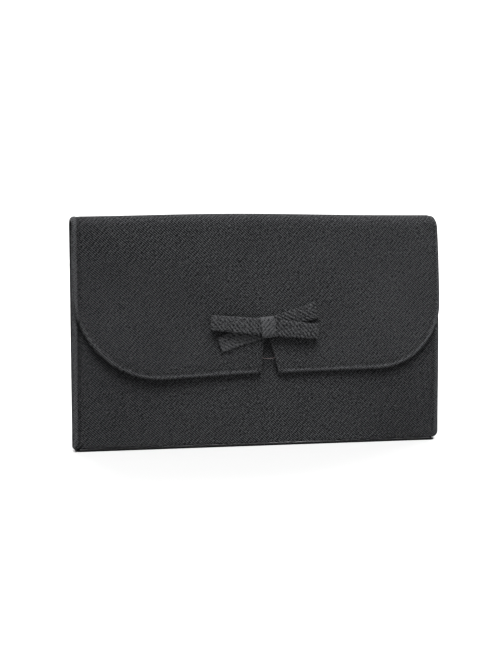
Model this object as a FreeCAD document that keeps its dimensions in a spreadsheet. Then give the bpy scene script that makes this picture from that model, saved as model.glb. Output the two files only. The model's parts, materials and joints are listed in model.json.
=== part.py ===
"""Envelope clutch purse in wool twill: two panels on a narrow base, a turned top, a notched flap with a bow.

Frame, in millimetres: +Z up, X along the width, the front faces -Y. The origin is the centre of the
base's underside. Both panels fold about one line along X just above the base. The back panel leans
back from it and the front panel leans forward, so the bag is a narrow wedge with folded gussets at
its sides. The purse is modelled closed, standing on its base.
"""
import FreeCAD, Part
import math
import os
import re

import Sketcher

SIZES = {
    # Whole bag
    "bag_width": 240.0,         # over the side bindings
    "bag_height": 148.0,        # floor to the top fold
    "hinge_height": 2.2,        # the line both panels fold about
    "back_lean": 2.2,           # degrees from upright
    "front_lean": 1.1,          # degrees from upright
    "mouth_height": 137.0,      # top edge of the front panel
    "half_gap": 1.05,           # fold plane to the lining of each panel
    # Layers
    "cover": 0.9,               # wool twill
    "board": 0.8,               # grey board
    "lining": 0.3,              # satin with its fusing
    "margin": 2.0,              # board edge inside the cloth edge
    "binding_proud": 0.35,      # cloth binding over the cover
    "binding_web": 0.4,         # cloth binding around a side edge
    "panel_bottom": -0.4,       # lowest point of a panel, from the fold line
    "corner": 4.3,              # lower corners, and the width of the side bindings
    "flap_clear": 0.35,         # air between the flap and the front panel
    "mouth_leg": 6.0,           # depth of the binding at the mouth
    # Base
    "base_half_depth": 3.2,
    "base_edge": 0.5,
    "base_lining_half_depth": 2.5,
    # Top fold
    "back_radius": 5.0,
    "front_radius": 6.5,
    "split_angle": 45.0,        # where each corner changes from one body to the next
    "split_gap": 1.2,           # degrees of air at each split
    # Flap outline, heights from the fold line
    "flap_rim": 3.2,
    "left_lobe_low": 42.4,
    "left_lobe_radius": 56.0,
    "right_lobe_low": 46.1,
    "right_lobe_radius": 43.0,
    "notch_left": -0.1,
    "notch_right": 11.6,
    "notch_low": 44.8,
    "notch_apex_across": 2.8,
    "notch_apex_up": 75.0,
    "waste_low": 30.0,
    "waste_side": 6.0,
    "tack_up": 54.8,
    "tack_radius": 0.2,
    "tack_bite": 0.5,
    # Closure discs, sewn in behind the bow
    "disc_up": 91.0,
    "disc_radius": 6.4,
    "disc_clear": 0.15,
    # Bow
    "bow_across": 3.4,
    "bow_up": 74.7,
    "band_height": 10.8,
    "knot_width": 9.8,
    "knot_height": 14.0,
    "knot_tilt": 5.0,
    "knot_depth": 4.8,
    "knot_wall": 0.9,
    "knot_edge": 1.2,
    "bow_air": 0.05,
    "loop_tilt": 5.5,
    "loop_depth": 2.8,
    "loop_cloth": 1.0,
    "loop_inner_end": 0.3,
    "left_loop_reach": 36.7,
    "right_loop_reach": 33.9,
    "tail_tilt": 17.4,
    "tail_cloth": 0.85,
    "left_tail_reach": 32.6,
    "right_tail_reach": 33.6,
    # Slip pocket on the back lining
    "pocket_width": 120.0,
    "pocket_low": 50.0,
    "pocket_high": 116.0,
    # Gussets: two triangular leaves a side, folded inward
    "gusset_inset": 2.0,        # gusset line inside the bag's side
    "leaf_angle": 10.0,         # at the leaf's lower point
    "leaf_start": 12.0,
    "leaf_end": 132.5,
    "leaf_cloth": 0.3,
    "leaf_lining": 0.15,
}

DERIVED = {
    "half_width": "bag_width / 2",
    "layer_half_width": "(half_width - binding_web)",
    "outer": "(half_gap + lining + board + cover)",
    "flap_inner": "(outer + binding_proud + flap_clear)",
    "flap_outer": "(flap_inner + lining + board + cover)",
    "mouth_up": "((mouth_height - hinge_height) / cos(front_lean))",
    # Corner centres in the leaning frames and upright
    "back_centre_v": "(outer - back_radius)",
    "back_centre_z": "(bag_height - back_radius)",
    "back_centre_w": "((back_centre_z - hinge_height + back_centre_v * sin(back_lean)) / cos(back_lean))",
    "back_centre_y": "(back_centre_v * cos(back_lean) + back_centre_w * sin(back_lean))",
    "front_centre_v": "(front_radius - flap_outer)",
    "front_centre_z": "(bag_height - front_radius)",
    "front_centre_rise": "(front_centre_z - hinge_height - front_centre_v * sin(front_lean))",
    "front_centre_w": "(front_centre_rise / cos(front_lean))",
    "front_centre_y": "(front_centre_v * cos(front_lean) - front_centre_w * sin(front_lean))",
    "back_split": "(split_angle + back_lean - split_gap)",
    "flap_split": "(180 - split_angle - front_lean + split_gap)",
    "spine_start": "(split_angle + split_gap)",
    "spine_end": "(180 - split_angle - split_gap)",
    "leaf_fold": "(asin(tan((back_lean + front_lean) / 2) / tan(leaf_angle)) / 1deg)",
    "gusset_line": "(half_width - gusset_inset)",
}

UPRIGHT = "placement(vector(0; 0; 0); rotation(vector(0; 0; 1); 0))"
BACK = "placement(vector(0; 0; hinge_height); rotation(vector(1; 0; 0); -back_lean))"
FRONT = "placement(vector(0; 0; hinge_height); rotation(vector(1; 0; 0); front_lean))"

XY, XZ, YZ = "XY_Plane", "XZ_Plane", "YZ_Plane"
CCW, CW = 1, -1

doc = FreeCAD.newDocument("clutch")
sheet = doc.addObject("Spreadsheet::Sheet", "Sizes")
sub_parts = []


def fill_sheet():
    for row, (name, size) in enumerate(SIZES.items(), start=1):
        sheet.set(f"A{row}", name)
        sheet.set(f"B{row}", str(size))
        sheet.setAlias(f"B{row}", name)
    doc.recompute()


def bound(text):
    """Expression text with derived names expanded and sheet names pointing at the sheet."""
    def swap(match):
        name = match.group(0)
        if name in DERIVED:
            return bound(DERIVED[name])
        return f"Sizes.{name}" if name in SIZES else name
    return re.sub(r"[A-Za-z_]+", swap, text)


def value(text):
    found = sheet.evalExpression(bound(text))
    return float(getattr(found, "Value", found))


def new_body(label, frame):
    body = doc.addObject("PartDesign::Body", label)
    body.Label = label
    body.setExpression("Placement", bound(frame))
    sub_parts.append(body)
    return body


def new_sketch(body, plane, offset="0"):
    """Sketch on one of the body's own planes, moved along the plane's normal by offset."""
    sketch = body.newObject("Sketcher::SketchObject", body.Label + "_sketch")
    origin_plane = next(item for item in body.Origin.OriginFeatures if item.Role == plane)
    sketch.AttachmentSupport = (origin_plane, [""])
    sketch.MapMode = "FlatFace"
    sketch.setExpression("AttachmentOffset.Base.z", bound(offset))
    return sketch


def arc_edge(start, end, radius, turn):
    """Arc of up to a half turn from start to end, and its angles in drawing order."""
    chord = end - start
    rise = math.sqrt(max(radius * radius - chord.Length * chord.Length / 4, 0))
    aside = FreeCAD.Vector(-chord.y, chord.x, 0).normalize() * rise * turn
    centre = (start + end) * 0.5 + aside
    first, last = (start, end) if turn == CCW else (end, start)
    angles = [math.atan2(spot.y - centre.y, spot.x - centre.x) for spot in (first, last)]
    circle = Part.Circle(centre, FreeCAD.Vector(0, 0, 1), radius)
    return Part.ArcOfCircle(circle, angles[0], angles[1])


def outline(sketch, corners):
    """Closed outline. A corner is (across, up), or (across, up, radius, turn) where an arc leaves it."""
    spots = [FreeCAD.Vector(value(corner[0]), value(corner[1]), 0) for corner in corners]
    ends = []
    for index, corner in enumerate(corners):
        start, end = spots[index], spots[(index + 1) % len(spots)]
        if len(corner) == 2:
            edge = sketch.addGeometry(Part.LineSegment(start, end))
            ends.append((edge, 1, 2))
        else:
            edge = sketch.addGeometry(arc_edge(start, end, value(corner[2]), corner[3]))
            ends.append((edge, 1, 2) if corner[3] == CCW else (edge, 2, 1))
    for index, corner in enumerate(corners):
        edge, begin, finish = ends[index]
        following, its_begin, _ = ends[(index + 1) % len(ends)]
        sketch.addConstraint(Sketcher.Constraint("Coincident", edge, finish, following, its_begin))
        dimension(sketch, Sketcher.Constraint("DistanceX", -1, 1, edge, begin, spots[index].x), corner[0])
        dimension(sketch, Sketcher.Constraint("DistanceY", -1, 1, edge, begin, spots[index].y), corner[1])
        if len(corner) == 4:
            dimension(sketch, Sketcher.Constraint("Radius", edge, value(corner[2])), corner[2])


def dimension(sketch, constraint, text):
    number = sketch.addConstraint(constraint)
    sketch.setExpression(f"Constraints[{number}]", bound(text))


def pad(body, sketch, length, both_ways=False):
    feature = body.newObject("PartDesign::Pad", body.Label + "_pad")
    feature.Profile = sketch
    feature.setExpression("Length", bound(length))
    if both_ways:
        feature.SideType = "Symmetric"
    doc.recompute()
    return feature


def cut_through(body, sketch):
    """Pocket through the whole body, both ways; it has to take material away."""
    before = body.Shape.Volume
    feature = body.newObject("PartDesign::Pocket", body.Label + "_cut")
    feature.Profile = sketch
    feature.Type = "ThroughAll"
    feature.SideType = "Symmetric"
    doc.recompute()
    if body.Shape.Volume > before - 1e-3:
        raise RuntimeError(f"{body.Label}: the pocket removed nothing")


def round_edges(body, radius, wanted):
    """Fillet the edges of the body's last feature that wanted() picks by middle and direction."""
    base = body.Tip
    names = []
    for number, edge in enumerate(base.Shape.Edges, start=1):
        middle = edge.CenterOfMass
        run = edge.tangentAt(edge.FirstParameter)
        if wanted(middle, run):
            names.append(f"Edge{number}")
    feature = body.newObject("PartDesign::Fillet", body.Label + "_fillet")
    feature.Base = (base, names)
    feature.setExpression("Radius", bound(radius))
    doc.recompute()


def mirrored(corners, side):
    """The same outline on the right (side 1) or mirrored to the left (side -1)."""
    result = []
    for corner in corners:
        across = f"{side} * ({corner[0]})"
        arc = () if len(corner) == 2 else (corner[2], corner[3] * side)
        result.append((across, corner[1], *arc))
    return result


def slab(label, frame, corners, face, thickness):
    """Flat layer in a leaning frame: outline across and up, from y = face towards -Y."""
    body = new_body(label, frame)
    sketch = new_sketch(body, XZ, f"-({face})")
    outline(sketch, corners)
    pad(body, sketch, thickness)
    return body


def add_slab(body, corners, face, thickness):
    sketch = new_sketch(body, XZ, f"-({face})")
    outline(sketch, corners)
    pad(body, sketch, thickness)


def rounded_panel(half_width, low, high, radius):
    """Panel outline with rounded lower corners."""
    return [
        (f"-({half_width})", high),
        (f"-({half_width})", f"{low} + {radius}", radius, CCW),
        (f"-({half_width}) + {radius}", low),
        (f"{half_width} - ({radius})", low, radius, CCW),
        (half_width, f"{low} + {radius}"),
        (half_width, high),
    ]


def rectangle(left, right, low, high):
    return [(left, low), (right, low), (right, high), (left, high)]


def side_binding(label, frame, side, top, leg_face, web_face):
    """Cloth binding along a side edge: a flat leg over the cover and a web around the edge."""
    leg = [
        ("half_width - corner", "panel_bottom", "corner", CCW),
        ("half_width", "panel_bottom + corner"),
        ("half_width", top),
        ("half_width - corner", top),
    ]
    web = [
        ("half_width - corner", "panel_bottom", "corner", CCW),
        ("half_width", "panel_bottom + corner"),
        ("half_width", top),
        ("layer_half_width", top),
        ("layer_half_width", "panel_bottom + corner", "corner - binding_web", CW),
        ("half_width - corner", "panel_bottom + binding_web"),
    ]
    body = slab(label, frame, mirrored(leg, side), leg_face, "binding_proud")
    add_slab(body, mirrored(web, side), web_face, "outer - half_gap + binding_proud")


def ring_point(centre_v, centre_w, radius, angle):
    return f"{centre_v} + ({radius}) * cos({angle})", f"{centre_w} + ({radius}) * sin({angle})"


def back_layer(label, outer_face, thickness):
    """Layer of the back panel that turns over the back corner as far as the split."""
    radius = f"back_radius - (outer - ({outer_face}))"
    inner_radius = f"{radius} - {thickness}"
    body = new_body(label, BACK)
    sketch = new_sketch(body, YZ)
    tip = ring_point("back_centre_v", "back_centre_w", radius, "back_split")
    inner_tip = ring_point("back_centre_v", "back_centre_w", inner_radius, "back_split")
    outline(sketch, [
        (f"{outer_face} - {thickness}", "panel_bottom + binding_web"),
        (outer_face, "panel_bottom + binding_web"),
        (outer_face, "back_centre_w", radius, CCW),
        tip,
        (*inner_tip, inner_radius, CW),
        (f"{outer_face} - {thickness}", "back_centre_w"),
    ])
    pad(body, sketch, "2 * layer_half_width", both_ways=True)
    low = value("panel_bottom + binding_web")
    round_edges(body, "corner - binding_web", lambda middle, run: abs(run.y) > 0.9 and middle.z < low + 1)
    return body


def make_back():
    back_layer("back_cover", "outer", "cover")
    board = rounded_panel("layer_half_width - margin", "panel_bottom + margin", "back_centre_w", "corner")
    slab("back_board", BACK, board, "outer - cover", "board")
    back_layer("back_lining", "half_gap + lining", "lining")
    pocket = rectangle("-pocket_width / 2", "pocket_width / 2", "pocket_low", "pocket_high")
    slab("slip_pocket", BACK, pocket, "half_gap", "lining")
    for name, side in (("left", -1), ("right", 1)):
        side_binding(f"back_binding_{name}", BACK, side, "back_centre_w",
                     "outer + binding_proud", "outer + binding_proud")


def make_base():
    body = new_body("base_cover", UPRIGHT)
    sketch = new_sketch(body, YZ)
    outline(sketch, rectangle("-base_half_depth", "base_half_depth", "0", "cover"))
    pad(body, sketch, "2 * (half_width - corner)", both_ways=True)
    round_edges(body, "base_edge", lambda middle, run: abs(run.x) > 0.9 and middle.z < 0.01)
    body = new_body("base_lining", UPRIGHT)
    sketch = new_sketch(body, YZ)
    outline(sketch, rectangle("-base_lining_half_depth", "base_lining_half_depth", "cover", "cover + lining"))
    pad(body, sketch, "2 * (half_width - corner)", both_ways=True)


def disc_hole(body):
    sketch = new_sketch(body, XZ)
    hole = sketch.addGeometry(Part.Circle(FreeCAD.Vector(value("bow_across"), value("disc_up"), 0),
                                          FreeCAD.Vector(0, 0, 1), value("disc_radius + disc_clear")))
    dimension(sketch, Sketcher.Constraint("DistanceX", -1, 1, hole, 3, value("bow_across")), "bow_across")
    dimension(sketch, Sketcher.Constraint("DistanceY", -1, 1, hole, 3, value("disc_up")), "disc_up")
    dimension(sketch, Sketcher.Constraint("Radius", hole, value("disc_radius")), "disc_radius + disc_clear")
    cut_through(body, sketch)


def closure_disc(label, face):
    """Thin magnet or keeper disc, as thick as the board it sits in."""
    disc = doc.addObject("Part::Cylinder", label)
    disc.Label = label
    disc.setExpression("Radius", bound("disc_radius"))
    disc.setExpression("Height", bound("board"))
    turned = f"placement(vector(bow_across; {face}; disc_up); rotation(vector(1; 0; 0); 90))"
    disc.setExpression("Placement", bound(f"{FRONT} * {turned}"))
    sub_parts.append(disc)


def make_front():
    top = "mouth_up - binding_web"
    layers = rounded_panel("layer_half_width", "panel_bottom + binding_web", top, "corner - binding_web")
    slab("front_cover", FRONT, layers, "-(outer - cover)", "cover")
    board = rounded_panel("layer_half_width - margin", "panel_bottom + margin", f"{top} - margin", "corner")
    disc_hole(slab("front_board", FRONT, board, "-(outer - cover - board)", "board"))
    slab("front_lining", FRONT, layers, "-half_gap", "lining")
    closure_disc("front_keeper_disc", "-(outer - cover - board)")
    for name, side in (("left", -1), ("right", 1)):
        side_binding(f"front_binding_{name}", FRONT, side, "mouth_up", "-outer", "-half_gap")
    leg = rectangle("-(half_width - corner)", "half_width - corner", "mouth_up - mouth_leg", "mouth_up")
    body = slab("mouth_binding", FRONT, leg, "-outer", "binding_proud")
    web = rectangle("-(half_width - corner)", "half_width - corner", top, "mouth_up")
    add_slab(body, web, "-half_gap", "outer - half_gap")


def spine_profile(outside, inside):
    """Profile of a layer of the top: between two depths below the outer cloth face."""
    back_out, back_in = f"back_radius - ({outside})", f"back_radius - ({inside})"
    front_out, front_in = f"front_radius - ({outside})", f"front_radius - ({inside})"
    return [
        (*ring_point("back_centre_y", "back_centre_z", back_out, "spine_start"), back_out, CCW),
        ("back_centre_y", f"back_centre_z + {back_out}"),
        ("front_centre_y", f"front_centre_z + {front_out}", front_out, CCW),
        ring_point("front_centre_y", "front_centre_z", front_out, "spine_end"),
        (*ring_point("front_centre_y", "front_centre_z", front_in, "spine_end"), front_in, CW),
        ("front_centre_y", f"front_centre_z + {front_in}"),
        ("back_centre_y", f"back_centre_z + {back_in}", back_in, CW),
        ring_point("back_centre_y", "back_centre_z", back_in, "spine_start"),
    ]


def make_spine():
    full = "cover + board + lining"
    layers = (("spine_cover", "0", "cover"), ("spine_interlining", "cover", "cover + board"),
              ("spine_lining", "cover + board", full))
    for label, outside, inside in layers:
        body = new_body(label, UPRIGHT)
        sketch = new_sketch(body, YZ)
        outline(sketch, spine_profile(outside, inside))
        pad(body, sketch, "2 * layer_half_width", both_ways=True)
    for name, left_edge in (("left", "-half_width"), ("right", "half_width - flap_rim")):
        body = new_body(f"spine_binding_{name}", UPRIGHT)
        leg = new_sketch(body, YZ, left_edge)
        outline(leg, spine_profile("-binding_proud", "0"))
        pad(body, leg, "flap_rim")
        web = new_sketch(body, YZ, left_edge if name == "left" else "layer_half_width")
        outline(web, spine_profile("-binding_proud", full))
        pad(body, web, "binding_web")


def flap_waste():
    """Everything below the flap's lower edge, with the notch standing up from it."""
    side = "half_width + waste_side"
    return [
        (f"-({side})", "waste_low"),
        (side, "waste_low"),
        (side, "right_lobe_low + right_lobe_radius"),
        ("layer_half_width", "right_lobe_low + right_lobe_radius", "right_lobe_radius - binding_web", CW),
        ("half_width - right_lobe_radius", "right_lobe_low + binding_web"),
        ("notch_right", "notch_low + binding_web"),
        ("notch_apex_across", "notch_apex_up"),
        ("notch_left", "notch_low + binding_web"),
        ("-(half_width - left_lobe_radius)", "left_lobe_low + binding_web",
         "left_lobe_radius - binding_web", CW),
        ("-layer_half_width", "left_lobe_low + left_lobe_radius"),
        (f"-({side})", "left_lobe_low + left_lobe_radius"),
    ]


def flap_layer(label, outside, inside):
    """Layer of the flap that hangs from the split of the front corner, between two depths."""
    out_radius, in_radius = f"front_radius - ({outside})", f"front_radius - ({inside})"
    out_face, in_face = f"-(flap_outer - ({outside}))", f"-(flap_outer - ({inside}))"
    body = new_body(label, FRONT)
    sketch = new_sketch(body, YZ)
    outline(sketch, [
        (out_face, "waste_low + 1"),
        (in_face, "waste_low + 1"),
        (in_face, "front_centre_w", in_radius, CW),
        ring_point("front_centre_v", "front_centre_w", in_radius, "flap_split"),
        (*ring_point("front_centre_v", "front_centre_w", out_radius, "flap_split"), out_radius, CCW),
        (out_face, "front_centre_w"),
    ])
    pad(body, sketch, "2 * layer_half_width", both_ways=True)
    waste = new_sketch(body, XZ)
    outline(waste, flap_waste())
    cut_through(body, waste)


def lobe_strip(side, width):
    """Strip of one width along a lobe's edge, from the top corner down and in to the notch."""
    name, notch = ("left", "-notch_left") if side < 0 else ("right", "notch_right")
    low, radius = f"{name}_lobe_low", f"{name}_lobe_radius"
    return mirrored([
        ("half_width", "front_centre_w"),
        ("half_width", f"{low} + {radius}", radius, CW),
        (f"half_width - {radius}", low),
        (notch, "notch_low"),
        (notch, f"notch_low + {width}"),
        (f"half_width - {radius}", f"{low} + {width}", f"{radius} - {width}", CCW),
        (f"half_width - {width}", f"{low} + {radius}"),
        (f"half_width - {width}", "front_centre_w"),
    ], side)


def make_flap():
    flap_layer("flap_cover", "0", "cover")
    flap_layer("flap_facing", "cover + board", "cover + board + lining")
    board = [
        ("-(layer_half_width - margin)", "front_centre_w - margin"),
        ("-(layer_half_width - margin)", "left_lobe_low + left_lobe_radius",
         "left_lobe_radius - margin - binding_web", CCW),
        ("-(half_width - left_lobe_radius)", "left_lobe_low + margin + binding_web"),
        ("notch_left - margin", "notch_low + margin + binding_web"),
        ("notch_left - margin / 2", "notch_apex_up + margin"),
        ("notch_apex_across + margin", "notch_apex_up + margin"),
        ("notch_right + margin", "notch_low + margin + binding_web"),
        ("half_width - right_lobe_radius", "right_lobe_low + margin + binding_web",
         "right_lobe_radius - margin - binding_web", CCW),
        ("layer_half_width - margin", "right_lobe_low + right_lobe_radius"),
        ("layer_half_width - margin", "front_centre_w - margin"),
    ]
    disc_hole(slab("flap_board", FRONT, board, "-(flap_inner + lining)", "board"))
    closure_disc("flap_magnet_disc", "-(flap_inner + lining)")
    for name, side in (("left", -1), ("right", 1)):
        strip = lobe_strip(side, "flap_rim")
        body = slab(f"flap_binding_{name}", FRONT, strip, "-flap_outer", "binding_proud")
        add_slab(body, lobe_strip(side, "binding_web"), "-flap_inner", "flap_outer - flap_inner")


def make_tack():
    """Thread bar across the notch, caught in the cover on both sides."""
    rise = "(tack_up - notch_low - binding_web) / (notch_apex_up - notch_low - binding_web)"
    start = f"(notch_left + (notch_apex_across - notch_left) * {rise})"
    end = f"(notch_right + (notch_apex_across - notch_right) * {rise})"
    tack = doc.addObject("Part::Cylinder", "notch_tack")
    tack.Label = "notch_tack"
    tack.setExpression("Radius", bound("tack_radius"))
    tack.setExpression("Height", bound(f"{end} - {start} + 2 * tack_bite"))
    spot = f"vector({start} - tack_bite; -(flap_outer - cover / 2); tack_up)"
    tack.setExpression("Placement", bound(f"{FRONT} * placement({spot}; rotation(vector(0; 1; 0); 90))"))
    sub_parts.append(tack)


def bow_frame(tilt, depth):
    """Frame at the bow's centre, tilted in the flap's plane, its XZ plane depth in front of the flap."""
    spot = f"vector(bow_across; -(flap_outer + {depth}); bow_up)"
    return f"{FRONT} * placement({spot}; rotation(vector(0; 1; 0); {tilt}))"


def make_knot():
    body = new_body("bow_knot", bow_frame("knot_tilt", "bow_air"))
    sketch = new_sketch(body, YZ)
    outline(sketch, rectangle("-knot_depth", "0", "-knot_height / 2", "knot_height / 2"))
    pad(body, sketch, "knot_width", both_ways=True)
    round_edges(body, "knot_edge", lambda middle, run: abs(run.x) > 0.9)
    hollow = new_sketch(body, YZ)
    outline(hollow, rectangle("-(knot_depth - knot_wall)", "-knot_wall",
                              "-(knot_height / 2 - knot_wall)", "knot_height / 2 - knot_wall"))
    cut_through(body, hollow)


def make_loop(name, side):
    """Flattened loop: one band out from the knot, round its end and back in."""
    reach = f"({name}_loop_reach - loop_depth / 2)"
    bend, inner_bend = "loop_depth / 2", "loop_depth / 2 - loop_cloth"
    body = new_body(f"bow_loop_{name}", bow_frame("loop_tilt", "knot_wall + 2 * bow_air"))
    sketch = new_sketch(body, XY)
    outline(sketch, mirrored([
        ("loop_inner_end", "0"),
        (reach, "0", bend, CW),
        (f"{reach} + {bend}", "-loop_depth / 2", bend, CW),
        (reach, "-loop_depth"),
        ("loop_inner_end", "-loop_depth"),
        ("loop_inner_end", "-(loop_depth - loop_cloth)"),
        (reach, "-(loop_depth - loop_cloth)", inner_bend, CCW),
        (f"{reach} + {inner_bend}", "-loop_depth / 2", inner_bend, CCW),
        (reach, "-loop_cloth"),
        ("loop_inner_end", "-loop_cloth"),
    ], side))
    pad(body, sketch, "band_height", both_ways=True)


def make_tail(name, side):
    """Flat tail: starts beside the knot and ends square to its own direction."""
    start, reach = "(knot_width / 2 + bow_air + knot_height * tan(knot_tilt) / 2)", f"{name}_tail_reach"
    half_band = "band_height / 2"
    across, along = f"{half_band} * sin(tail_tilt)", f"{half_band} * cos(tail_tilt)"
    end_x, end_z = f"{reach} * cos(tail_tilt)", f"{reach} * sin(tail_tilt) * {side}"
    start_z = f"{start} * tan(tail_tilt) * {side}"
    corners = [
        (f"{side} * {start}", f"{start_z} - {half_band} / cos(tail_tilt)"),
        (f"{side} * {end_x} + {across}", f"{end_z} - {along}"),
        (f"{side} * {end_x} - {across}", f"{end_z} + {along}"),
        (f"{side} * {start}", f"{start_z} + {half_band} / cos(tail_tilt)"),
    ]
    slab(f"bow_tail_{name}", bow_frame("0", "bow_air"), corners, "0", "tail_cloth")


def leaf_frame(side, lean, turn):
    """Frame of a leaf: its Z along the panel's side line, then turned inward about that line."""
    foot = f"vector({side} * gusset_line; 0; hinge_height)"
    turned = f"rotation(vector(1; 0; 0); {lean}) * rotation(vector(0; 0; 1); {turn} * leaf_fold)"
    return f"placement({foot}; {turned})"


def make_gusset(name, side):
    """Two triangular leaves: one on the back panel's side line, one on the front panel's."""
    leaf = mirrored([
        ("0", "leaf_start"),
        ("0", "leaf_end"),
        ("-leaf_end * tan(leaf_angle)", "leaf_end"),
        ("-leaf_start * tan(leaf_angle)", "leaf_start"),
    ], side)
    rear, fore = leaf_frame(side, "-back_lean", side), leaf_frame(side, "front_lean", -side)
    slab(f"gusset_rear_{name}", rear, leaf, "leaf_cloth", "leaf_cloth")
    slab(f"gusset_rear_lining_{name}", rear, leaf, "leaf_cloth + leaf_lining", "leaf_lining")
    slab(f"gusset_front_{name}", fore, leaf, "0", "leaf_cloth")
    slab(f"gusset_front_lining_{name}", fore, leaf, "-leaf_cloth", "leaf_lining")


def check_and_write():
    doc.recompute()
    for item in doc.Objects:
        if "Invalid" in item.State or "Error" in item.State:
            raise RuntimeError(f"{item.Label} failed: {item.State}")
    os.makedirs("parts", exist_ok=True)
    for item in sub_parts:
        shape = item.Shape
        if shape.isNull() or not shape.isValid() or len(shape.Solids) != 1:
            raise RuntimeError(f"{item.Label}: shape is null, invalid or not one solid")
        shape.exportStep(f"parts/{item.Label}.step")
        print(f"{item.Label:26s} {shape.Volume:10.2f} mm3")


fill_sheet()
make_back()
make_base()
make_front()
make_spine()
make_flap()
make_tack()
make_knot()
for name, side in (("left", -1), ("right", 1)):
    make_loop(name, side)
    make_tail(name, side)
    make_gusset(name, side)
check_and_write()
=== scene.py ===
"""Looks of the envelope clutch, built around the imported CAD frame.

Lengths are in millimetres until a mesh is made; Blender objects are in metres, in the row frame.
The cloth is laid out flat first, as (across, along) points on a profile, so its weave runs unbroken
from the back over the top fold and down the flap.
"""
import json
import math

import bmesh
import bpy
import numpy as np
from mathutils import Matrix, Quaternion, Vector
from mathutils.geometry import delaunay_2d_cdt


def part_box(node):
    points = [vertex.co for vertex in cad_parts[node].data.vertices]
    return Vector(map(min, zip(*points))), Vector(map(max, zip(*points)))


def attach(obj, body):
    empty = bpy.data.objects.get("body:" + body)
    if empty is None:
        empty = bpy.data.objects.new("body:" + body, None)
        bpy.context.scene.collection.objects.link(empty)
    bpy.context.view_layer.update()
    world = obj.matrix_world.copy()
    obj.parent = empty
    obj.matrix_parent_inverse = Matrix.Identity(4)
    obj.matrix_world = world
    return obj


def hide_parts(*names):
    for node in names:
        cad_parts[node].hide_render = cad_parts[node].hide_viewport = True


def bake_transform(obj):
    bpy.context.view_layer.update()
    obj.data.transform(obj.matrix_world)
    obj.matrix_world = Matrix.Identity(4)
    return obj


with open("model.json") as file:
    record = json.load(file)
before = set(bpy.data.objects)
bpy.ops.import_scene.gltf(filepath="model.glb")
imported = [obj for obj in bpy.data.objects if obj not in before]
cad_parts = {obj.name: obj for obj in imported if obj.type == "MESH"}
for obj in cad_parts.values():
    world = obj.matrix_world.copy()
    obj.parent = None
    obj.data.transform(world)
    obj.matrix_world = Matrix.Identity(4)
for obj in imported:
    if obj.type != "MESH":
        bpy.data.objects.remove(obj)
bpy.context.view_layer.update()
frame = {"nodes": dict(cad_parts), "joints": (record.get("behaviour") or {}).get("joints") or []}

MM = 0.001

# ---- sizes shared with the CAD model
JOINTS = {joint["name"]: joint for joint in frame["joints"]}
HINGE_Z = JOINTS["front_swing"]["pos_m"][2] / MM
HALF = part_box("flap_binding_right")[1].x / MM
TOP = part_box("spine_cover")[1].z / MM
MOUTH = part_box("mouth_binding")[1].z / MM
BACK_LEAN, FRONT_LEAN = 2.2, 1.1
OUTER = 3.05            # fold plane to a panel's cloth face
FLAP_OUTER = 5.75       # fold plane to the flap's cloth face
LAYERS = 2.0            # cloth face to lining face
ROW_GAP = 3.5           # rows of points down the flat of a cloth
BACK_RADIUS, FRONT_RADIUS = 5.0, 6.5
LEFT_CORNER, RIGHT_CORNER = 1.7, 4.3    # lower corners of the panels
BACK_FOOT, FRONT_FOOT = 1.3, 1.75       # heights of the panels' lower edges
SIDE_RIM, FLAP_RIM = 4.2, 3.2           # widths of the turned edges
RIM_WEAR_AND_HIGHLIGHT, PAINTED_GROOVE_SHADE = 0.16, -0.20           # a turned edge is painted lighter, part wear and part painted highlight; its groove gets painted shade

# Flap outline: heights up the flap from the fold line, and places across
LEFT_LOW, LEFT_RADIUS = 42.4, 56.0
RIGHT_LOW, RIGHT_RADIUS = 46.1, 43.0
NOTCH_LEFT, NOTCH_RIGHT, NOTCH_LOW = -0.1, 11.6, 44.8
NOTCH_APEX = (2.8, 75.0)

# Bow
BOW_ACROSS, BOW_UP = 3.4, 74.7
BAND, KNOT = 10.8, 9.3    # widths of the folded strips
LOOP_TILT, KNOT_TILT = 5.5, -6.0


# ---- profiles
def lean_out(out, height, lean):
    """How far from the upright plane a leaning panel's face is, at a height."""
    angle = math.radians(lean)
    return (out + (height - HINGE_Z) * math.sin(angle)) / math.cos(angle)


def unit(direction):
    return direction / np.linalg.norm(direction)


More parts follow.
